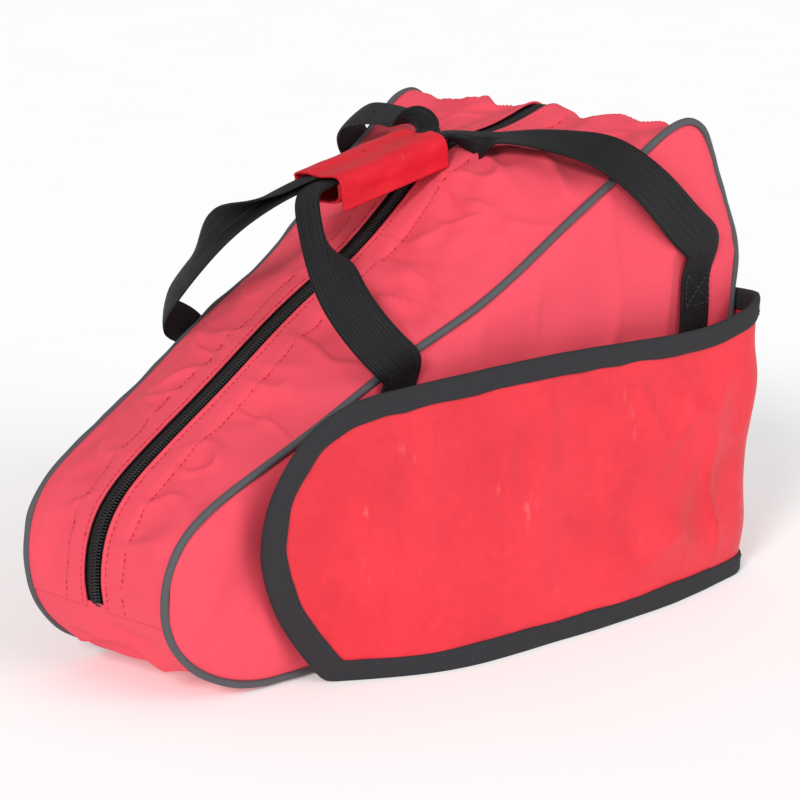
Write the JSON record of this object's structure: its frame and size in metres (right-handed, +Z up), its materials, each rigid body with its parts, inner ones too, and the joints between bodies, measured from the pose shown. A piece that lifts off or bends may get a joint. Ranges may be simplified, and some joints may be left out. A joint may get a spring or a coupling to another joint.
{
  "type": "skate bag",
  "caption": "Boot-shaped nylon skate bag with a zipped top, an outer sling pocket round its sides and back, and webbing handles gathered by a hook-and-loop wrap.",
  "frame": {"origin": "middle of the bag's underside, on the ground it rests on", "axes": "+X runs from the toe to the heel, +Z is up, the near side is -Y"},
  "size_m": [0.3984, 0.2488, 0.2663],
  "materials": {
    "red_nylon": "coated nylon taffeta, satin",
    "vinyl_piping": "soft vinyl cord",
    "black_webbing": "woven polypropylene webbing",
    "binding": "grosgrain binding tape",
    "zipper_tape": "woven polyester tape",
    "zipper_coil": "moulded coil",
    "slider_metal": "black lacquer",
    "stiffener": "plain board",
    "wrap_fabric": "coated nylon, satin",
    "hook_and_loop": "hook and loop pile"
  },
  "bodies": {
    "bag": {"near_side_panel": "red_nylon", "far_side_panel": "red_nylon", "near_piping": "vinyl_piping", "far_piping": "vinyl_piping", "near_top_gusset": "red_nylon", "far_top_gusset": "red_nylon", "base_gusset": "red_nylon", "back_gusset": "red_nylon", "base_board": "stiffener", "near_zipper_tape": "zipper_tape", "far_zipper_tape": "zipper_tape", "near_zipper_coil": "zipper_coil", "far_zipper_coil": "zipper_coil", "near_pocket_wall": "red_nylon", "far_pocket_wall": "red_nylon", "back_pocket_wall": "red_nylon", "pocket_floor": "red_nylon", "near_pocket_edge_binding": "binding", "far_pocket_edge_binding": "binding", "back_pocket_edge_binding": "binding", "near_pocket_base_binding": "binding", "far_pocket_base_binding": "binding", "back_pocket_base_binding": "binding", "near_strap_front_anchor": "black_webbing", "near_strap_rear_anchor": "black_webbing", "far_strap_front_anchor": "black_webbing", "far_strap_rear_anchor": "black_webbing", "near_strap_front_leg": "black_webbing", "near_strap_rear_leg": "black_webbing", "far_strap_front_leg": "black_webbing", "far_strap_rear_leg": "black_webbing"},
    "grip": {"near_strap_grip": "black_webbing", "far_strap_grip": "black_webbing", "wrap_base": "wrap_fabric", "loop_patch": "hook_and_loop"},
    "flap": {"wrap_flap": "wrap_fabric", "hook_patch": "hook_and_loop"},
    "slider": {"zipper_slider": "slider_metal"},
    "pull": {"zipper_pull": "slider_metal"}
  },
  "joints": [
    {"name": "grip_lift", "type": "slide", "parent": "bag", "child": "grip", "axis": [0, 0, 1], "range_m": [0, 0.03], "deforming": ["near_strap_front_leg", "near_strap_rear_leg", "far_strap_front_leg", "far_strap_rear_leg"]},
    {"name": "wrap_open", "type": "hinge", "parent": "grip", "child": "flap", "pos_m": [0.00228, 0.0165, 0.25189], "axis": [-0.9848, 0, -0.1736], "range_deg": [0, 110]},
    {"name": "slider_travel", "type": "slide", "parent": "bag", "child": "slider", "axis": [-0.4552, 0, 0.8904], "range_m": [0, 0.036]},
    {"name": "pull_swing", "type": "hinge", "parent": "slider", "child": "pull", "pos_m": [0.18592, 0, 0.21111], "axis": [0, -1, 0], "range_deg": [0, 150]}
  ]
}
